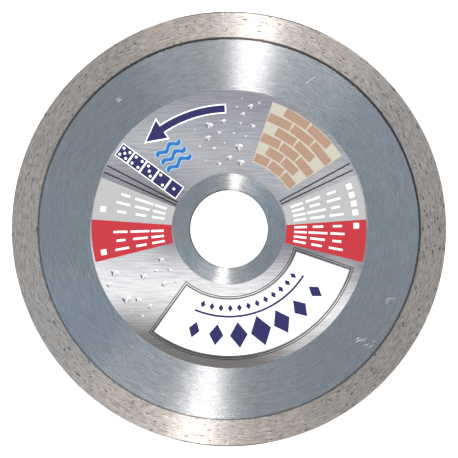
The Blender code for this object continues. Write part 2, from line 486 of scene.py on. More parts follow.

# %% [markdown]
# ## Sintered bond
# The rim is metal powder pressed and baked round the diamonds, then turned to size. It is a warmer and
# duller metal than the plate, with streaks that follow the turning and dark pits where grit or powder has
# broken out. The pits are in the mesh too, and this finish only darkens them, with the same pattern as
# the mesh. The turning wasn't quite true: its grooves have a centre a little off the axis and run in a
# slight spiral, which moves the highlight on the rim away from that on the plate. The colour also carries
# painted light: a cooler tint in the two bright spokes, a lighter tone beside them and painted shade
# towards the right. Dirt and painted shade darken the inner corner, and a painted dark line marks the
# outer edge where the highlight is strongest.

# %% Bond finish
COARSE_PITS = {"Round": 25.0, "Across": 1300.0, "Size": 0.38}
FINE_PITS = {"Round": 57.0, "Across": 2200.0, "Size": 0.40}
DARK_STREAK = (0.169, 0.156, 0.141, 1)
LIGHT_STREAK = (0.366, 0.340, 0.315, 1)
BROWN_STREAK = (0.292, 0.250, 0.219, 1)
FINE_PIT_TONE = (0.09, 0.075, 0.06, 1)
COARSE_PIT_TONE = (0.05, 0.04, 0.032, 1)
BOND_HIGHLIGHT_TINT = (0.96, 0.995, 1.035, 1)
BOND_PAINTED_LIGHT = (1.10, 1.08, 1.05, 1)
BLACK = (0.0, 0.0, 0.0, 1)
CORNER_DIRT_AND_SHADE = (0.085, 0.08, 0.076, 1)
EDGE_PAINTED_SHADE = (0.015, 0.0145, 0.014, 1)
CORNER_DARK_FULL, CORNER_DARK_END = 55.16 * MM, 55.3 * MM
EDGE_SHADE_START, EDGE_SHADE_FULL = 62.12 * MM, 62.25 * MM
TURNING_CENTRE = (-0.9 * MM, 0.0, 0.0)
TURNING_SPIRAL = 0.6
FINE_PIT_SHARE = 0.85
RIGHT_PAINTED_SHADE = 0.075
BOND_RELIEF = 0.0081 * MM


def bond_material():
    material, tree, shader = start_material("sintered_bond_finish")
    brush_in_circles(tree, shader, metallic=0.80, centre=TURNING_CENTRE, spiral=TURNING_SPIRAL)
    fine = use_group(tree, GRINDING, Round=27.0, Across=3400.0, Detail=4.0)
    broad = use_group(tree, GRINDING, Round=9.0, Across=520.0, Detail=3.0)
    grain = use_group(tree, GRAIN, Scale=6000.0)["Grain"]
    radius = fine["Radius"]

    tone = mix_colours(tree, remap(tree, fine["Mark"], 0.28, 0.72), DARK_STREAK, LIGHT_STREAK)
    tone = mix_colours(tree, remap(tree, broad["Mark"], 0.4, 0.7, 0.0, 0.4), tone, BROWN_STREAK)
    fine_pits = use_group(tree, PITS, **FINE_PITS)["Pit"]
    tone = mix_colours(tree, calculate(tree, "MULTIPLY", fine_pits, FINE_PIT_SHARE), tone, FINE_PIT_TONE)
    tone = mix_colours(tree, use_group(tree, PITS, **COARSE_PITS)["Pit"], tone, COARSE_PIT_TONE)
    # Painted highlight colour: the bond is tinted cooler in the two bright spokes.
    tone = tint_spans(
        tree, tone, BOND_HIGHLIGHT_TINT,
        {"clock": 8.0, "near": 9.0, "far": 17.0}, {"clock": 187.0, "near": 6.0, "far": 11.0})
    # Painted light: the bond is lightened beside the bright spokes, where the warm panel shines.
    tone = tint_spans(
        tree, tone, BOND_PAINTED_LIGHT,
        {"clock": 349.0, "near": 6.0, "far": 13.0}, {"clock": 170.0, "near": 6.0, "far": 13.0})
    # Painted shade: the bond darkens towards the right side of the blade.
    shade = calculate(tree, "POWER", use_group(tree, SIDE, Clock=92.0)["Share"], 6.0)
    tone = mix_colours(tree, calculate(tree, "MULTIPLY", shade, RIGHT_PAINTED_SHADE), tone, BLACK)

    # Dirt and painted shade in the rim's inner corner, heaviest at the upper right.
    corner = remap(tree, radius, CORNER_DARK_FULL, CORNER_DARK_END, 1.0, 0.0)
    tone = mix_colours(tree, fade_by_side(tree, corner, clock=30.0, least=0.15), tone, CORNER_DIRT_AND_SHADE)
    # Painted shade: a thin dark line on the outer edge, only in the two spans where the highlight lies.
    upper = within(tree, clock=6.0, near=12.0, far=24.0)
    lower = within(tree, clock=183.0, near=7.0, far=14.0)
    highlight_spans = calculate(tree, "MAXIMUM", upper, lower)
    edge = calculate(tree, "MULTIPLY", remap(tree, radius, EDGE_SHADE_START, EDGE_SHADE_FULL), highlight_spans)
    tone = mix_colours(tree, edge, tone, EDGE_PAINTED_SHADE)

    set_inputs(tree, shader, {"Base Color": tone, "Roughness": spread(tree, fine["Mark"], 0.285, 0.335)})
    raise_grain(tree, shader, grain, BOND_RELIEF)
    return material


BOND = bond_material()
print("finish:", BOND.name)

# %% [markdown]
# ## Diamond grit
# Saw diamonds are small yellow-grey crystals. Bedded in metal they look dark, because light that enters
# them hardly comes back. One finish serves the large crystals and the fine grit between them.

# %% Crystal finish
CRYSTAL_DARK = (0.05, 0.042, 0.030, 1)
CRYSTAL_LIGHT = (0.22, 0.19, 0.13, 1)


def crystal_material():
    material, tree, shader = start_material("saw_diamond_finish")
    place = add_node(tree, "ShaderNodeTexCoord").outputs["Object"]
    noise = add_node(tree, "ShaderNodeTexNoise", {
        "Vector": place, "Scale": 900.0, "Detail": 2.0}).outputs[0]
    set_inputs(tree, shader, {
        "Base Color": mix_colours(tree, remap(tree, noise, 0.35, 0.65), CRYSTAL_DARK, CRYSTAL_LIGHT),
        "Roughness": spread(tree, noise, 0.12, 0.3),
        "IOR": 2.0,
    })
    return material


DIAMOND = crystal_material()
print("finish:", DIAMOND.name)

# %% [markdown]
# ## Turned pieces
# Plate, rim and label are all a section carried once round the axis. Blender could spin them, or a Screw
# modifier could. Here Geometry Nodes sweep the section along a circle, so the radius of that circle and
# the number of steps stay named inputs. The section is drawn as a closed line of radius and height, with
# its corners rounded off.

# %% A section with rounded corners
def rounded_section(corners, steps=3):
    """A closed line through corners of (radius, height, rounding), each replaced by a small arc."""
    points = []
    for index, (radius, height, rounding) in enumerate(corners):
        corner = Vector((radius, height))
        if rounding == 0.0:
            points.append(corner)
            continue
        before = Vector(corners[index - 1][:2]) - corner
        after = Vector(corners[(index + 1) % len(corners)][:2]) - corner
        start = corner + before.normalized() * rounding
        end = corner + after.normalized() * rounding
        for step in range(steps + 1):
            share = step / steps
            points.append((1 - share) ** 2 * start + 2 * share * (1 - share) * corner + share ** 2 * end)
    return points


def both_faces(half, middle):
    """A whole section from the half above the middle plane, with each height measured from that plane."""
    upper = [(radius, middle + height, rounding) for radius, height, rounding in half]
    lower = [(radius, middle - height, rounding) for radius, height, rounding in reversed(half)]
    return upper + lower


MIDDLE = (CORE_LOW.z + CORE_HIGH.z) / 2
print("middle plane in mm:", in_mm([MIDDLE]))

# %% A geometry tree that turns a section
def geometry_tree(name, inputs):
    """An empty tree with a geometry input, named inputs of a kind and a value each, and a finish."""
    tree = bpy.data.node_groups.new(name, "GeometryNodeTree")
    add_socket(tree, "INPUT", "Geometry", "Geometry")
    for label, (kind, value) in inputs.items():
        add_socket(tree, "INPUT", label, kind, value)
    add_socket(tree, "INPUT", "Finish", "Material")
    add_socket(tree, "OUTPUT", "Geometry", "Geometry")
    start = tree.nodes.new("NodeGroupInput")
    end = tree.nodes.new("NodeGroupOutput")
    return tree, start.outputs, end.inputs


def finish_tree(tree, geometry, given, result):
    """Ends a tree in real geometry with its finish on it."""
    real = add_node(tree, "GeometryNodeRealizeInstances", {0: geometry}).outputs[0]
    dressed = add_node(tree, "GeometryNodeSetMaterial", {"Geometry": real, "Material": given["Finish"]})
    tree.links.new(dressed.outputs[0], result["Geometry"])
    return tree


def turning_tree():
    tree, given, result = geometry_tree("Turned section", {
        "Rail Radius": ("Float", 50.0 * MM), "Steps": ("Int", 720)})
    section = add_node(tree, "GeometryNodeMeshToCurve", {0: given["Geometry"]}).outputs[0]
    rail = add_node(tree, "GeometryNodeCurvePrimitiveCircle", {
        "Resolution": given["Steps"], "Radius": given["Rail Radius"]}).outputs[0]
    swept = add_node(tree, "GeometryNodeCurveToMesh", {0: rail, "Profile Curve": section})
    return finish_tree(tree, swept.outputs[0], given, result)


TURNING = turning_tree()
print("geometry tree:", TURNING.name)

# %% [markdown]
# ## Running a tree
# A tree works as a modifier. Its inputs are set before it first runs, the result is kept as a plain mesh,
# and the modifier goes. Then doubled points are merged, the faces are turned outwards, and all but the
# sharp edges are shaded smooth.

# %% Running a tree and keeping its mesh
SMOOTH_ANGLE = math.radians(28.0)
MERGE_DISTANCE = 0.0005 * MM


def tidy_mesh(mesh):
    builder = bmesh.new()
    builder.from_mesh(mesh)
    bmesh.ops.remove_doubles(builder, verts=builder.verts, dist=MERGE_DISTANCE)
    bmesh.ops.recalc_face_normals(builder, faces=builder.faces)
    builder.to_mesh(mesh)
    builder.free()
    mesh.shade_smooth()
    mesh.set_sharp_from_angle(angle=SMOOTH_ANGLE)


def run_tree(piece, tree, **values):
    """Gives a piece the mesh that a geometry tree makes of it, as plain geometry."""
    modifier = piece.modifiers.new(tree.name, "NODES")
    modifier.node_group = tree
    for item in tree.interface.items_tree:
        key = item.name.replace(" ", "_").lower()
        if item.in_out == "INPUT" and key in values:
            modifier[item.identifier] = values[key]
    evaluated = piece.evaluated_get(bpy.context.evaluated_depsgraph_get())
    mesh = bpy.data.meshes.new_from_object(evaluated)
    piece.modifiers.remove(modifier)
    piece.data = mesh
    return mesh


def new_piece(name, mesh):
    piece = bpy.data.objects.new(name, mesh)
    scene.collection.objects.link(piece)
    return piece


def turned_piece(name, section, finish, steps=720):
    rail = sum(point.x for point in section) / len(section)
    outline = bpy.data.meshes.new(name + "_section")
    ends = [(index, (index + 1) % len(section)) for index in range(len(section))]
    outline.from_pydata([(point.x - rail, -point.y, 0.0) for point in section], ends, [])
    piece = new_piece(name, outline)
    tidy_mesh(run_tree(piece, TURNING, rail_radius=rail, steps=steps, finish=finish))
    print(name, "faces:", len(piece.data.polygons), "size in mm:", in_mm(piece.dimensions, 2))
    return piece


print("turning is ready")

# %% [markdown]
# ## The steel plate
# The plate shows as a ring round the bore and a band outside the label. Its bore has small chamfers, and
# the relief groove beside the rim is cut into both faces. Under the rim it steps up again and runs on to
# its key.

# %% Plate
RELIEF_START = 54.55 * MM
RELIEF_DEPTH = 0.15 * MM
BORE_CHAMFER = 0.25 * MM
EDGE_ROUND = 0.06 * MM
KEY_STEP = 0.02 * MM
CORE_HALF = (CORE_HIGH.z - CORE_LOW.z) / 2

plate_half = [
    (BORE_RADIUS, CORE_HALF - BORE_CHAMFER, EDGE_ROUND),
    (BORE_RADIUS + BORE_CHAMFER, CORE_HALF, EDGE_ROUND),
    (RELIEF_START, CORE_HALF, EDGE_ROUND),
    (RELIEF_START + RELIEF_DEPTH, CORE_HALF - RELIEF_DEPTH, EDGE_ROUND),
    (RIM_INNER_RADIUS, CORE_HALF - RELIEF_DEPTH, 0.0),
    (RIM_INNER_RADIUS + KEY_STEP, CORE_HALF, 0.0),
    (KEY_RADIUS, CORE_HALF, 0.0),
]
plate = turned_piece("steel_plate", rounded_section(both_faces(plate_half, MIDDLE)), STEEL)

# %% [markdown]
# ## The rim
# The rim starts as a turned ring too, a hair inside its solid. Its section gets points close together on
# the front and the cutting edge, because a second tree then sinks pits into its skin. A pit's place comes
# from the same cells that the bond finish darkens, so the two always agree. The pits only go inwards, so
# the ring keeps its size.

# %% A tree that sinks pits
def pitting_tree():
    tree, given, result = geometry_tree("Pitted skin", {
        "Coarse Depth": ("Float", 0.08 * MM), "Fine Depth": ("Float", 0.04 * MM)})
    place = add_node(tree, "GeometryNodeInputPosition").outputs[0]
    normal = add_node(tree, "GeometryNodeInputNormal").outputs[0]
    coarse = pit_mask(tree, place, *COARSE_PITS.values())
    fine = pit_mask(tree, place, *FINE_PITS.values())
    sink = calculate(tree, "MULTIPLY", coarse, given["Coarse Depth"])
    sink = calculate(tree, "MULTIPLY_ADD", fine, given["Fine Depth"], sink)
    inwards = calculate(tree, "MULTIPLY", sink, -1.0)
    offset = vector_math(tree, "SCALE", {0: normal, "Scale": inwards})["Vector"]
    moved = add_node(tree, "GeometryNodeSetPosition", {0: given["Geometry"], "Offset": offset})
    return finish_tree(tree, moved.outputs[0], given, result)


PITTING = pitting_tree()
print("geometry tree:", PITTING.name)

# %% Rim with pits
RIM_HALF = (RIM_HIGH.z - RIM_LOW.z) / 2
RIM_STEPS = 1200
SKIN_DROP = 0.02 * MM
INNER_CHAMFER = 0.15 * MM
INNER_CORNER = 0.17 * MM
INNER_ROUND = 0.05 * MM
OUTER_CORNER = 0.22 * MM
OUTER_ROUND = 0.08 * MM
FACE_STEP, FACE_BAND = 0.225 * MM, 0.1 * MM
WALL_STEP, WALL_MARGIN = 0.35 * MM, 0.3 * MM
BACK_STEP = 0.8 * MM


def split_run(points, longest, low, high):
    """Adds points on straight runs between two heights, so that no step on them is longer than longest."""
    result = []
    for point, following in zip(points, points[1:] + points[:1]):
        result.append(point)
        middle = (point.y + following.y) / 2
        if low < middle < high:
            pieces = math.ceil((following - point).length / longest)
            result += [point.lerp(following, piece / pieces) for piece in range(1, pieces)]
    return result


rim_half = [
    (RIM_INNER_RADIUS, RIM_HALF - INNER_CORNER, INNER_ROUND),
    (RIM_INNER_RADIUS + INNER_CHAMFER, RIM_HALF - SKIN_DROP, INNER_ROUND),
    (RIM_RADIUS - OUTER_CORNER, RIM_HALF - SKIN_DROP, OUTER_ROUND),
    (RIM_RADIUS - SKIN_DROP, RIM_HALF - OUTER_CORNER, OUTER_ROUND),
]
rim_section = rounded_section(both_faces(rim_half, MIDDLE))
rim_section = split_run(rim_section, FACE_STEP, RIM_HIGH.z - FACE_BAND, RIM_HIGH.z)
rim_section = split_run(rim_section, WALL_STEP, RIM_LOW.z + WALL_MARGIN, RIM_HIGH.z - WALL_MARGIN)
rim_section = split_run(rim_section, BACK_STEP, RIM_LOW.z, RIM_LOW.z + FACE_BAND)
rim = turned_piece("diamond_rim_ring", rim_section, BOND, RIM_STEPS)
smooth_ring = rim.data.copy()
tidy_mesh(run_tree(rim, PITTING, finish=BOND))
print("rim triangles:", sum(len(face.vertices) - 2 for face in rim.data.polygons))

# %% [markdown]
# ## Fine grit
# Between the large crystals the bond is full of finer grit. Geometry Nodes scatter points over the ring
# before its pits are sunk, on the flat faces and the upright walls but not on the chamfers, and set a
# small crystal on each, stretched a little along the turning. They stand out by less than the skin was
# lowered.

# %% Grit in the rim
GRIT_LEAST = (0.5, 0.3, 0.06)
GRIT_MOST = (1.7, 0.9, 0.11)
FLATNESS = 0.49995


def flat_skin(tree):
    """True on the faces, where the normal is upright, and on the walls, where it is level."""
    normal = add_node(tree, "GeometryNodeInputNormal").outputs[0]
    lift = calculate(tree, "ABSOLUTE", split_vector(tree, normal)["Z"])
    slant = calculate(tree, "ABSOLUTE", calculate(tree, "SUBTRACT", lift, 0.5))
    return calculate(tree, "GREATER_THAN", slant, FLATNESS)


def grit_tree():
    tree, given, result = geometry_tree("Bedded grit", {
        "Density": ("Float", 2.2e5), "Grit Size": ("Float", 0.3 * MM), "Seed": ("Int", 7)})
    points = add_node(tree, "GeometryNodeDistributePointsOnFaces", {
        "Mesh": given["Geometry"], "Selection": flat_skin(tree), "Density": given["Density"],
        "Seed": given["Seed"]}).outputs
    place = split_vector(tree, add_node(tree, "GeometryNodeInputPosition").outputs[0])
    along = join_vector(tree, X=calculate(tree, "MULTIPLY", place["Y"], -1.0), Y=place["X"])
    turned = add_node(tree, "FunctionNodeAlignRotationToVector", {
        "Rotation": points["Rotation"], "Vector": along}, axis="X", pivot_axis="Z")
    lengths = add_node(tree, "FunctionNodeRandomValue", {
        0: GRIT_LEAST, 1: GRIT_MOST, "Seed": given["Seed"]}, data_type="FLOAT_VECTOR").outputs[0]
    sizes = vector_math(tree, "SCALE", {0: lengths, "Scale": given["Grit Size"]})["Vector"]
    crystal = add_node(tree, "GeometryNodeMeshIcoSphere", {"Radius": 0.5, "Subdivisions": 1})
    copies = add_node(tree, "GeometryNodeInstanceOnPoints", {
        "Points": points["Points"], "Instance": crystal.outputs[0],
        "Rotation": turned.outputs[0], "Scale": sizes})
    return finish_tree(tree, copies.outputs[0], given, result)


grit = new_piece("rim_grit", smooth_ring)
run_tree(grit, grit_tree(), finish=DIAMOND)
grit.data.shade_flat()
print("grit triangles:", len(grit.data.polygons))

# %% [markdown]
# ## Handling scratches
# A ground plate picks up small bright scratches in packing. Each is a thin sliver of bare metal, and they
# come in small groups where another blade touched. Slivers differ in place, lean and length, so plain
# mesh code with a fixed seed draws them.

# %% Scratch finish
SCRATCH_DARK = (0.42, 0.44, 0.46, 1)
SCRATCH_LIGHT = (0.72, 0.73, 0.74, 1)


def scratch_material():
    material, tree, shader = start_material("scratched_steel_finish")
    mark = use_group(tree, GRINDING, Round=200.0, Across=9000.0, Detail=2.0)["Mark"]
    tone = mix_colours(tree, mark, SCRATCH_DARK, SCRATCH_LIGHT)
    set_inputs(tree, shader, {"Base Color": tone, "Metallic": 1.0, "Roughness": 0.5})
    return material


SCRATCHED = scratch_material()
print("finish:", SCRATCHED.name)

# %% Scratches on the plate
SCRATCH_WIDTH = 0.11 * MM
SCRATCH_FOOT = CORE_HIGH.z - 0.02 * MM
SCRATCH_TOP = CORE_HIGH.z + 0.004 * MM
SCRATCH_LEAN = 38.0
SCRATCH_GROUPS = (
    {"x": 38.4, "y": -32.0, "count": 7},
    {"x": 40.2, "y": -33.0, "count": 4},
    {"x": 45.9, "y": -20.3, "count": 4},
    {"x": -30.5, "y": 37.0, "count": 3},
    {"x": 24.0, "y": 42.5, "count": 3},
)


def add_prism(builder, outline, low, high):
    """A closed solid between two heights, with the points of its outline in order."""
    lower = [builder.verts.new((*point, low)) for point in outline]
    upper = [builder.verts.new((*point, high)) for point in outline]
    builder.faces.new(lower)
    builder.faces.new(upper)
    for index in range(len(outline)):
        following = (index + 1) % len(outline)
        builder.faces.new((lower[index], lower[following], upper[following], upper[index]))


def add_sliver(builder, centre, turn, length):
    """A closed splinter, pointed at both ends."""
    along = Vector((math.cos(turn), math.sin(turn))) * length / 2
    across = Vector((-math.sin(turn), math.cos(turn))) * SCRATCH_WIDTH / 2
    outline = [centre - along, centre + across, centre + along, centre - across]
    add_prism(builder, outline, SCRATCH_FOOT, SCRATCH_TOP)


def new_mesh(builder, name):
    mesh = bpy.data.meshes.new(name)
    builder.to_mesh(mesh)
    builder.free()
    return mesh


dice = random.Random(12)
slivers = bmesh.new()
for group in SCRATCH_GROUPS:
    for _ in range(group["count"]):
        x = group["x"] + dice.uniform(-1.5, 1.5)
        y = group["y"] + dice.uniform(-0.8, 0.8)
        turn = math.radians(SCRATCH_LEAN + dice.uniform(-16.0, 16.0))
        add_sliver(slivers, Vector((x, y)) * MM, turn, dice.uniform(0.9, 2.6) * MM)
scratch_mesh = new_mesh(slivers, "plate_scratches")
tidy_mesh(scratch_mesh)
scratch_mesh.materials.append(SCRATCHED)
scratches = new_piece("plate_scratches", scratch_mesh)
print("scratch faces:", len(scratch_mesh.polygons))

# %% [markdown]
# ## Film and inks
# The label is a printed film ring. Its ground is brushed metal in greys with two light bands, and flat
# inks lie on it, from white and black through red, navy and blue to clay. Print is never quite even, so
# one group gives every ink a fine grain. A thin clear varnish covers film and inks, which is a coat over
# the colour.

# %% Print grain and ink finishes
PRINT_SCALE = 2600.0
PRINT_UNEVENNESS = 0.08
VARNISH = {"Specular IOR Level": 0.25, "Coat Weight": 0.15, "Coat Roughness": 0.25}
INK_COLOURS = {
    "white": (0.72, 0.72, 0.72, 1.0),
    "black": (0.004, 0.004, 0.004, 1.0),
    "red": (0.315, 0.010, 0.017, 1.0),
    "navy": (0.006, 0.004, 0.062, 1.0),
    "light_grey": (0.29, 0.29, 0.29, 1.0),
    "blue": (0.004, 0.095, 0.30, 1.0),
    "sky": (0.23, 0.39, 0.48, 1.0),
    "cream": (0.35, 0.33, 0.27, 1.0),
    "clay": (0.26, 0.165, 0.11, 1.0),
    "silver": (0.42, 0.42, 0.43, 1.0),
    "slate": (0.06, 0.06, 0.063, 1.0),
}


def print_group():
    group, given, result, place = shader_group(
        "Print grain", {"Scale": PRINT_SCALE, "Amount": PRINT_UNEVENNESS}, ["Shade"])
    noise = add_node(group, "ShaderNodeTexNoise", {"Vector": place, "Scale": given["Scale"], "Detail": 2.0})
    low = calculate(group, "SUBTRACT", 1.0, given["Amount"])
    group.links.new(spread(group, noise.outputs[0], low, 1.0), result["Shade"])
    return group


def ink_material(name, colour):
    material, tree, shader = start_material(name)
    shade = use_group(tree, PRINT, Scale=PRINT_SCALE, Amount=PRINT_UNEVENNESS)["Shade"]
    set_inputs(tree, shader, {
        "Base Color": mix_colours(tree, 1.0, colour, shade, "MULTIPLY"),
        "Roughness": remap(tree, shade, 0.9, 1.0, 0.5, 0.42),
        **VARNISH,
    })
    return material


PRINT = print_group()
INK = {name: ink_material(f"ink_{name}", colour) for name, colour in INK_COLOURS.items()}
print("inks:", ", ".join(INK))

# %% Film ground
BRUSHING_LEAN = (0.0, 0.0, math.radians(-35.0))
BRUSHING_SCALE = (140.0, 2600.0, 1.0)
BAND_SLOPE = -0.2
BAND_CLOUD = 16.0 * MM
BANDS_FROM, BANDS_TO = -32.0 * MM, 48.0 * MM
FILM_BANDS = (
    {"place": 0.0, "grey": (0.135, 0.137, 0.158, 1.0)},
    {"place": 0.25, "grey": (0.215, 0.222, 0.235, 1.0)},
    {"place": 0.5, "grey": (0.105, 0.104, 0.122, 1.0)},
    {"place": 0.76, "grey": (0.42, 0.42, 0.425, 1.0)},
    {"place": 0.96, "grey": (0.075, 0.071, 0.069, 1.0)},
)


def add_bands(tree, value):
    """A colour ramp with a stop for each band. A new ramp already has its first and its last stop."""
    ramp = add_node(tree, "ShaderNodeValToRGB", {0: value})
    ramp.color_ramp.interpolation = "EASE"
    for band in FILM_BANDS[1:-1]:
        ramp.color_ramp.elements.new(band["place"])
    for stop, band in zip(ramp.color_ramp.elements, FILM_BANDS):
        stop.position = band["place"]
        stop.color = band["grey"]
    return ramp.outputs[0]


def film_material():
    material, tree, shader = start_material("printed_film_finish")
    place = add_node(tree, "ShaderNodeTexCoord").outputs["Object"]
    slanted = add_node(tree, "ShaderNodeMapping", {
        "Vector": place, "Rotation": BRUSHING_LEAN, "Scale": BRUSHING_SCALE})
    brushed = add_node(tree, "ShaderNodeTexNoise", {
        "Vector": slanted.outputs[0], "Scale": 1.0, "Detail": 3.0})
    cloud = add_node(tree, "ShaderNodeTexNoise", {"Vector": place, "Scale": 42.0, "Detail": 1.5})
    sides = split_vector(tree, place)
    drop = calculate(tree, "MULTIPLY", sides["Y"], -1.0)
    drop = calculate(tree, "MULTIPLY_ADD", sides["X"], BAND_SLOPE, drop)
    drop = calculate(tree, "MULTIPLY_ADD", cloud.outputs[0], BAND_CLOUD, drop)
    tone = add_bands(tree, remap(tree, drop, BANDS_FROM, BANDS_TO, smooth=False))
    tone = mix_colours(tree, 1.0, tone, spread(tree, brushed.outputs[0], 0.82, 1.15), "MULTIPLY")
    set_inputs(tree, shader, {"Base Color": tone, "Roughness": 0.45, **VARNISH})
    return material


FILM = film_material()
print("finish:", FILM.name)

# %% [markdown]
# ## The label ring
# The film is a tenth of a millimetre thick. It is turned like the plate, and it stops just short of its
# solid's top, which leaves room for three levels of ink.

# %% Label film
UNDER_INK, OVER_INK, TOP_INK = 1, 2, 3
INK_STEP = 0.01 * MM
ROOT_DEPTH = 2 * INK_STEP
FILM_TOP = LABEL_HIGH.z - TOP_INK * INK_STEP
INK_ROOT = FILM_TOP - ROOT_DEPTH
FILM_ROUND = 0.02 * MM
film_section = rounded_section([
    (LABEL_BORE_RADIUS, LABEL_LOW.z, 0.0),
    (LABEL_BORE_RADIUS, FILM_TOP, FILM_ROUND),
    (LABEL_RADIUS, FILM_TOP, FILM_ROUND),
    (LABEL_RADIUS, LABEL_LOW.z, 0.0),
])
film = turned_piece("label_film", film_section, FILM)

# %% [markdown]
# ## Drawing with ink
# Each ink mark is a thin closed solid on the film. Marks that overlap end on different levels, so that no
# two tops share a plane. Panels and lines are ribbons: a left edge and a right edge with the same number
# of points, filled between and given a thickness. Places on the round label are given as on a clock face,
# in degrees clockwise with a radius. The print starts at the bottom of the blade, half a turn from the
# top.

# %% Ribbons
LABEL_TURN = 180.0
SECTOR_STEP = 1.5


def spot(clock, radius):
    turn = math.radians(clock + LABEL_TURN)
    return Vector((radius * math.sin(turn), radius * math.cos(turn)))


def ink_height(level):
    return FILM_TOP + level * INK_STEP


def add_ribbon(ink, left, right, level):
    """A closed thin solid between two edges, from inside the film up to an ink level."""
    builder = INK_BUILDERS[ink]
    rows = []
    for height in (INK_ROOT, ink_height(level)):
        for edge in (left, right):
            rows.append([builder.verts.new((*point, height)) for point in edge])
    low_left, low_right, high_left, high_right = rows
    rings = list(zip(low_left, low_right, high_right, high_left))
    for near, far in zip(rings, rings[1:]):
        for corner in range(4):
            following = (corner + 1) % 4
            builder.faces.new((near[corner], near[following], far[following], far[corner]))
    builder.faces.new(rings[0])
    builder.faces.new(rings[-1])


def add_sector(ink, start, end, inner, outer, level):
    """Part of a ring between two clock angles and two radii."""
    steps = max(2, math.ceil(abs(end - start) / SECTOR_STEP))
    clocks = [start + (end - start) * step / steps for step in range(steps + 1)]
    add_ribbon(ink, [spot(c, inner) for c in clocks], [spot(c, outer) for c in clocks], level)


INK_BUILDERS = {name: bmesh.new() for name in INK}
print("ink levels in mm:", in_mm([ink_height(level) for level in (UNDER_INK, OVER_INK, TOP_INK)]))

# %% [markdown]
# ## Panels
# The design is plain: a white arched banner with a double black outline, red and light grey fields on
# both sides of the bore, and thin black rules beside them.

# %% Panels of the label
MARGIN = 0.5 * MM
FIELD_INNER = LABEL_BORE_RADIUS + MARGIN
FIELD_OUTER = LABEL_RADIUS - MARGIN
RULE_HALF = 0.2 * MM
BANNER = {"start": -71.0, "end": 36.0, "inner": 20.6 * MM, "outer": 36.4 * MM}
FIELDS = (
    {"red_start": 266.0, "red_end": 284.0, "grey_end": 247.0, "rules": (244.5, 241.5)},
    {"red_start": 94.0, "red_end": 76.0, "grey_end": 112.0, "rules": (114.5, 117.5)},
)


def outline_sector(start, end, inner, outer, gap, width):
    """A thin black frame drawn round a sector, gap away from it."""
    for ring in (inner - gap - width, outer + gap):
        swell = math.degrees((gap + width) / ring)
        add_sector("black", start - swell, end + swell, ring, ring + width, UNDER_INK)
    for clock, way in ((start, -1), (end, 1)):
        ends = (inner - gap, outer + gap)
        near = [spot(clock + way * math.degrees(gap / r), r) for r in ends]
        far = [spot(clock + way * math.degrees((gap + width) / r), r) for r in ends]
        add_ribbon("black", near, far, UNDER_INK)


add_sector("white", **BANNER, level=UNDER_INK)
outline_sector(**BANNER, gap=0.35 * MM, width=0.3 * MM)
outline_sector(**BANNER, gap=1.0 * MM, width=0.22 * MM)
for field in FIELDS:
    add_sector("red", field["red_start"], field["red_end"], FIELD_INNER, FIELD_OUTER, UNDER_INK)
    add_sector("light_grey", field["grey_end"], field["red_start"], FIELD_INNER, FIELD_OUTER, UNDER_INK)
    for clock in field["rules"]:
        side = spot(clock + 90.0, RULE_HALF)
        line = [spot(clock, FIELD_INNER), spot(clock, FIELD_OUTER)]
        add_ribbon("black", [point - side for point in line], [point + side for point in line], UNDER_INK)
print("panels: a banner and", len(FIELDS), "pairs of fields")

# %% [markdown]
# ## Marks in rows
# Rhombi, bars, tick boxes, pips and bricks are single marks or rows along an arc. One geometry tree sets
# copies of a mark along an arc, each turned to face outwards. The mark, the arc's radius, its start, its
# step and the number of copies are inputs.

# %% A tree for marks along an arc
def clock_place(tree, turn, radius):
    """The place at a clock angle in radians and a radius."""
    return join_vector(
        tree, X=calculate(tree, "MULTIPLY", calculate(tree, "SINE", turn), radius),
        Y=calculate(tree, "MULTIPLY", calculate(tree, "COSINE", turn), radius))


def arc_tree():
    tree, given, result = geometry_tree("Marks along an arc", {
        "Radius": ("Float", 30.0 * MM), "Start": ("Float", 0.0),
        "Step": ("Float", 0.1), "Count": ("Int", 5)})
    line = add_node(tree, "GeometryNodeMeshLine", {"Count": given["Count"]})
    index = add_node(tree, "GeometryNodeInputIndex").outputs[0]
    turn = calculate(tree, "MULTIPLY_ADD", index, given["Step"], given["Start"])
    points = add_node(tree, "GeometryNodeSetPosition", {
        0: line.outputs[0], "Position": clock_place(tree, turn, given["Radius"])})
    copies = add_node(tree, "GeometryNodeInstanceOnPoints", {
        "Points": points.outputs[0], "Instance": given["Geometry"],
        "Rotation": join_vector(tree, Z=calculate(tree, "MULTIPLY", turn, -1.0))})
    return finish_tree(tree, copies.outputs[0], given, result)


ARC = arc_tree()
print("geometry tree:", ARC.name)

# %% Printing copies of a mark
def print_copies(ink, outline, level, tree, **values):
    """Adds to an ink the copies a tree makes of one mark, drawn with x along the arc and y outwards."""
    builder = bmesh.new()
    add_prism(builder, outline, INK_ROOT, ink_height(level))
    carrier = new_piece("mark", new_mesh(builder, "mark"))
    INK_BUILDERS[ink].from_mesh(run_tree(carrier, tree, finish=INK[ink], **values))
    bpy.data.objects.remove(carrier)


def add_marks(ink, outline, level, radius, start, step=0.0, count=1):
    """One mark at a clock angle, or a row of them from there on by step."""
    print_copies(
        ink, outline, level, ARC, radius=radius, start=math.radians(start + LABEL_TURN),
        step=math.radians(step), count=count)


def box_outline(width, height):
    x, y = width / 2, height / 2
    return [(-x, -y), (x, -y), (x, y), (-x, y)]


def rhombus(width, height):
    return [(0.0, -height / 2), (width / 2, 0.0), (0.0, height / 2), (-width / 2, 0.0)]


print("marks can be printed")

# %% [markdown]
# ## Rhombi, bars and boxes
# The banner carries a row of navy rhombi that grow towards the middle, a rule under them and a row of
# small ones. The red and grey fields hold short white bars, like a list, and some lines end in a tick
# box.

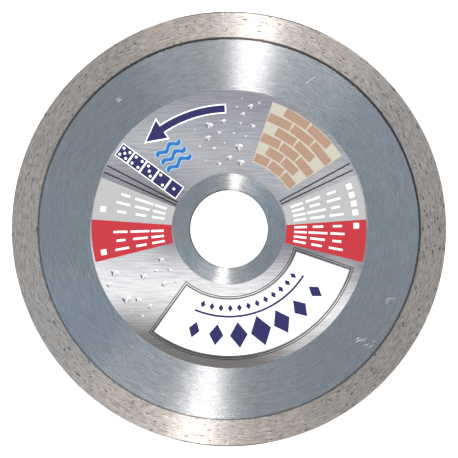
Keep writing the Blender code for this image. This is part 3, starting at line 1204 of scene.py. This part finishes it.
# %% Marks on the banner
RHOMBUS_HEIGHTS = (9.0, 7.6, 6.2, 4.8)
RHOMBUS_SLIMNESS = 0.68
RHOMBUS_RADIUS = 30.6 * MM
RHOMBUS_STEP = 12.2
BANNER_MIDDLE = -17.5

for offset, height in enumerate(RHOMBUS_HEIGHTS):
    outline = rhombus(RHOMBUS_SLIMNESS * height * MM, height * MM)
    for way in ((0,) if offset == 0 else (-1, 1)):
        clock = BANNER_MIDDLE + way * offset * RHOMBUS_STEP
        add_marks("navy", outline, OVER_INK, RHOMBUS_RADIUS, clock)
add_sector("navy", start=-58.0, end=23.0, inner=24.9 * MM, outer=25.5 * MM, level=OVER_INK)
add_marks("navy", rhombus(1.5 * MM, 2.2 * MM), OVER_INK, radius=22.8 * MM, start=-54.0, step=6.64, count=12)
print("large rhombi:", 2 * len(RHOMBUS_HEIGHTS) - 1)

# %% Lists on the fields
BAR_WIDTH = 0.62 * MM
BAR_RADII = (20.6, 25.6, 31.2)
TICK_BOX = box_outline(1.6 * MM, 1.6 * MM)
TICK_RADIUS = 36.6 * MM
LISTS = (
    {
        "lines": (280.5, 276.5, 272.5, 268.5, 262.5, 258.5, 254.5, 250.5),
        "ticks": (268.5, 262.5, 258.5, 254.5, 250.5),
    },
    {
        "lines": (79.5, 84.0, 88.5, 99.0, 103.5, 108.0),
        "ticks": (79.5, 99.0),
    },
)


def bar_lengths(line):
    """Three bars for a line of a list. The last two change from line to line."""
    return 3.6, 3.0 + 1.2 * (line % 3), 2.6 + 1.4 * ((line + 1) % 2)


for rows in LISTS:
    for line, clock in enumerate(rows["lines"]):
        for radius, length in zip(BAR_RADII, bar_lengths(line)):
            add_marks("white", box_outline(BAR_WIDTH, length * MM), OVER_INK, radius * MM, clock)
    for clock in rows["ticks"]:
        add_marks("white", TICK_BOX, OVER_INK, TICK_RADIUS, clock)
print("list lines:", sum(len(rows["lines"]) for rows in LISTS))

# %% [markdown]
# ## Bricks
# A small panel shows what the blade cuts: a wall of clay bricks in running bond. Each course is one run
# of the arc tree, and every other course is moved by half a brick.

# %% Brick panel
BRICK_START, BRICK_END = 199.0, 237.0
BRICKS, COURSES = 3, 6
COURSE_INNER, COURSE_OUTER = 20.4 * MM, 38.6 * MM
MORTAR = 0.5 * MM

add_sector("cream", BRICK_START, BRICK_END, COURSE_INNER, COURSE_OUTER, UNDER_INK)
course_height = (COURSE_OUTER - COURSE_INNER) / COURSES
step = (BRICK_END - BRICK_START) / BRICKS
for course in range(COURSES):
    moved = course % 2
    radius = COURSE_INNER + (course + 0.5) * course_height
    brick = box_outline(math.radians(step) * radius - MORTAR, course_height - MORTAR)
    start = BRICK_START + step * (1.0 if moved else 0.5)
    add_marks("clay", brick, OVER_INK, radius, start, step, BRICKS - moved)
print("courses of bricks:", COURSES)

# %% [markdown]
# ## Pips, waves and the turning arrow
# A strip of navy squares carries one to five white pips. Three blue waves stand for wet cutting. The
# arrow shows which way the blade turns: navy, with a white edge.

# %% Pips
STRIP_CLOCK = 126.0
STRIP_START, STRIP_STEP = 19.6, 4.35
SQUARE_EDGE = box_outline(4.3 * MM, 4.3 * MM)
SQUARE = box_outline(3.75 * MM, 3.75 * MM)
PIP_SPACING = 1.05
PIP_RADIUS = 0.42 * MM
PIP_CORNERS = 12
PIP_PATTERNS = (
    ((0, 0),),
    ((-1, -1), (1, 1)),
    ((-1, -1), (0, 0), (1, 1)),
    ((-1, -1), (-1, 1), (1, -1), (1, 1)),
    ((-1, -1), (-1, 1), (0, 0), (1, -1), (1, 1)),
)


def round_outline(x, y, radius, corners):
    turns = [2 * math.pi * corner / corners for corner in range(corners)]
    return [(x + radius * math.cos(turn), y + radius * math.sin(turn)) for turn in turns]


for index, pattern in enumerate(PIP_PATTERNS):
    radius = (STRIP_START + STRIP_STEP * index) * MM
    add_marks("white", SQUARE_EDGE, UNDER_INK, radius, STRIP_CLOCK)
    add_marks("navy", SQUARE, OVER_INK, radius, STRIP_CLOCK)
    for x, y in pattern:
        pip = round_outline(x * PIP_SPACING * MM, y * PIP_SPACING * MM, PIP_RADIUS, PIP_CORNERS)
        add_marks("white", pip, TOP_INK, radius, STRIP_CLOCK)
print("squares with pips:", len(PIP_PATTERNS))

# %% Waves
WAVE_CLOCK = 143.0
WAVE_RADII = (24.0, 26.6, 29.2)
WAVE_SWING = 0.55 * MM
WAVE_STEPS = 32


def add_wave(ink, radius, length, thickness, level):
    """A ribbon of two waves laid along an arc."""
    shares = [step / WAVE_STEPS for step in range(WAVE_STEPS + 1)]
    clocks = [WAVE_CLOCK + math.degrees(length / radius) * (share - 0.5) for share in shares]
    lines = [radius + WAVE_SWING * math.sin(4 * math.pi * share) for share in shares]
    inner = [spot(clock, line - thickness / 2) for clock, line in zip(clocks, lines)]
    outer = [spot(clock, line + thickness / 2) for clock, line in zip(clocks, lines)]
    add_ribbon(ink, inner, outer, level)


for radius in WAVE_RADII:
    add_wave("sky", radius * MM, length=8.6 * MM, thickness=1.7 * MM, level=UNDER_INK)
    add_wave("blue", radius * MM, length=8.2 * MM, thickness=1.15 * MM, level=OVER_INK)
print("waves:", len(WAVE_RADII))

# %% Turning arrow
ARROW_RADIUS = 34.6 * MM
ARROW_TAIL, ARROW_NECK, ARROW_TIP = 178.0, 146.0, 136.5
ARROW_HALF = 1.0 * MM
ARROW_BARB = 3.0 * MM
ARROW_EDGE = 0.4 * MM
ARROW_STEPS = 24


def add_arrow(ink, swell, level):
    """The turning arrow in one outline, grown by swell on every side."""
    half = ARROW_HALF + swell
    barb = ARROW_BARB + 1.7 * swell
    grow = math.degrees(swell / ARROW_RADIUS)
    start, stop = ARROW_TAIL + grow, ARROW_NECK + grow
    clocks = [start + (stop - start) * step / ARROW_STEPS for step in range(ARROW_STEPS + 1)]
    outer = [spot(clock, ARROW_RADIUS + half) for clock in clocks]
    tip = spot(ARROW_TIP - 2.0 * grow, ARROW_RADIUS)
    head = [spot(stop, ARROW_RADIUS + barb), tip, spot(stop, ARROW_RADIUS - barb)]
    inner = [spot(clock, ARROW_RADIUS - half) for clock in reversed(clocks)]
    add_prism(INK_BUILDERS[ink], outer + head + inner, INK_ROOT, ink_height(level))


add_arrow("white", ARROW_EDGE, OVER_INK)
add_arrow("navy", 0.0, TOP_INK)
print("arrow spans in degrees:", ARROW_TAIL - ARROW_TIP)

# %% [markdown]
# ## Cut stones
# The film's ground carries a sprinkle of cut stones, each of five flat facets in greys and white. One
# tree bends a grid into part of the ring and spreads a mark over it at random, with a least distance
# between them, so that no two stones overlap. Run with the same seed for each facet, it sets them in the
# same places.

# %% A tree that sprinkles marks
TURN_SHIFT, SIZE_SHIFT = 62, 93


def pick(tree, given, low, high, shift):
    """A random value for each copy. The shift keeps one choice from following another."""
    seed = calculate(tree, "ADD", given["Seed"], shift)
    return add_node(tree, "FunctionNodeRandomValue", {2: low, 3: high, "Seed": seed}).outputs[1]


def sprinkle_tree():
    tree, given, result = geometry_tree("Sprinkled marks", {
        "Apart": ("Float", 3.0 * MM), "Seed": ("Int", 1),
        "From Clock": ("Float", 0.0), "To Clock": ("Float", 1.0),
        "From Radius": ("Float", 20.0 * MM), "To Radius": ("Float", 30.0 * MM),
        "Smallest": ("Float", 0.3), "Largest": ("Float", 1.0)})
    grid = add_node(tree, "GeometryNodeMeshGrid", {"Vertices X": 24, "Vertices Y": 8})
    flat = split_vector(tree, add_node(tree, "GeometryNodeInputPosition").outputs[0])
    turn = remap(tree, flat["X"], -0.5, 0.5, given["From Clock"], given["To Clock"], smooth=False)
    radius = remap(tree, flat["Y"], -0.5, 0.5, given["From Radius"], given["To Radius"], smooth=False)
    field = add_node(tree, "GeometryNodeSetPosition", {
        0: grid.outputs[0], "Position": clock_place(tree, turn, radius)})
    points = add_node(tree, "GeometryNodeDistributePointsOnFaces", {
        "Mesh": field.outputs[0], "Distance Min": given["Apart"], "Density Max": 1.0e6,
        "Seed": given["Seed"]}, distribute_method="POISSON")
    facing = join_vector(tree, Z=pick(tree, given, -0.5, 0.5, TURN_SHIFT))
    share = calculate(tree, "POWER", pick(tree, given, 0.0, 1.0, SIZE_SHIFT), 2.0)
    size = remap(tree, share, 0.0, 1.0, given["Smallest"], given["Largest"], smooth=False)
    copies = add_node(tree, "GeometryNodeInstanceOnPoints", {
        "Points": points.outputs[0], "Instance": given["Geometry"], "Rotation": facing,
        "Scale": join_vector(tree, X=size, Y=size, Z=1.0)})
    return finish_tree(tree, copies.outputs[0], given, result)


SPRINKLE = sprinkle_tree()
print("geometry tree:", SPRINKLE.name)

# %% Sprinkled stones
SMALLEST_STONE = 0.28
FACETS = (
    ("slate", ((-0.92, 0.12), (-0.08, -0.80), (-0.36, 0.12))),
    ("silver", ((-0.28, 0.12), (0.0, -0.78), (0.28, 0.12))),
    ("light_grey", ((0.36, 0.12), (0.08, -0.80), (0.92, 0.12))),
    ("silver", ((-0.92, 0.22), (-0.05, 0.22), (-0.05, 0.68), (-0.52, 0.68))),
    ("white", ((0.05, 0.22), (0.92, 0.22), (0.52, 0.68), (0.05, 0.68))),
)


def sprinkle_stones(seed, apart, clocks, radii, largest):
    from_clock, to_clock = [math.radians(clock + LABEL_TURN) for clock in clocks]
    from_radius, to_radius = [radius * MM for radius in radii]
    for ink, facet in FACETS:
        print_copies(
            ink, [(x * MM, y * MM) for x, y in facet], UNDER_INK, SPRINKLE, seed=seed, apart=apart * MM,
            from_clock=from_clock, to_clock=to_clock, from_radius=from_radius, to_radius=to_radius,
            smallest=SMALLEST_STONE, largest=largest)


sprinkle_stones(seed=5, apart=3.4, clocks=(160.0, 193.5), radii=(18.8, 31.0), largest=1.8)
sprinkle_stones(seed=8, apart=2.6, clocks=(183.0, 194.5), radii=(33.0, 38.2), largest=1.3)
sprinkle_stones(seed=11, apart=3.2, clocks=(44.5, 70.0), radii=(20.5, 38.0), largest=1.7)
print("faces of the slate facets:", len(INK_BUILDERS["slate"].faces))

# %% [markdown]
# ## One piece for each ink
# A printer lays down one ink at a time, and the label is kept that way: all marks of an ink become one
# piece. Marks from a tree come with the number of their finish in a longer list of materials, so every
# face is set back to the one finish of its piece.

# %% Ink pieces
ink_pieces = []
for name, builder in INK_BUILDERS.items():
    mesh = new_mesh(builder, f"label_ink_{name}")
    tidy_mesh(mesh)
    mesh.materials.append(INK[name])
    for face in mesh.polygons:
        face.material_index = 0
    ink_pieces.append(new_piece(f"label_ink_{name}", mesh))
print("ink pieces:", [piece.name for piece in ink_pieces])

# %% [markdown]
# ## Placing the pieces
# Nothing on the blade moves, so every piece rides on its one body. A finer piece stands for the solid it
# follows, and the large crystals keep their solids and only get the crystal finish.

# %% Crystals keep their solids
crystals = [node for name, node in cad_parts.items() if name.startswith("diamond_grain")]
for crystal in crystals:
    crystal.data.materials.clear()
    crystal.data.materials.append(DIAMOND)
print("crystals:", len(crystals))

# %% Pieces ride on the blade
def settle(piece, slot, *stands_for):
    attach(piece, "root")
    if stands_for:
        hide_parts(*stands_for)


settle(plate, "ground_steel", "steel_core")
settle(rim, "sintered_bond", "diamond_rim")
settle(grit, "saw_diamond")
settle(scratches, "ground_steel")
settle(film, "printed_film", "label")
for ink_piece in ink_pieces:
    settle(ink_piece, "printed_film")
print("pieces placed:", [piece.name for piece in (plate, rim, grit, scratches, film, *ink_pieces)])

# %% [markdown]
# ## Floor
# The blade lies on a plain white table top, lit from below as for a catalogue picture, so that hardly any
# shadow shows. It is wide enough that its edge never shows.

# %% Floor
FLOOR_GLOW = 0.45
FLOOR_RADIUS = 4.0
FLOOR_DROP = 0.02 * MM
FLOOR_SHADE = (0.93, 0.93, 0.93, 1)
FLOOR_WHITE = (0.95, 0.95, 0.95, 1)


def floor_material():
    material, tree, shader = start_material("white_table")
    place = add_node(tree, "ShaderNodeTexCoord").outputs["Object"]
    noise = add_node(tree, "ShaderNodeTexNoise", {"Vector": place, "Scale": 40.0})
    tone = mix_colours(tree, noise.outputs[0], FLOOR_SHADE, FLOOR_WHITE)
    set_inputs(tree, shader, {
        "Base Color": tone,
        "Emission Color": tone,
        "Emission Strength": FLOOR_GLOW,
        "Roughness": 0.7,
    })
    return material


bpy.ops.mesh.primitive_circle_add(
    vertices=96, radius=FLOOR_RADIUS, fill_type="NGON", location=(0, 0, -FLOOR_DROP))
floor = bpy.context.object
floor.name = "table_top"
floor.data.materials.append(floor_material())
print("floor:", floor.name)
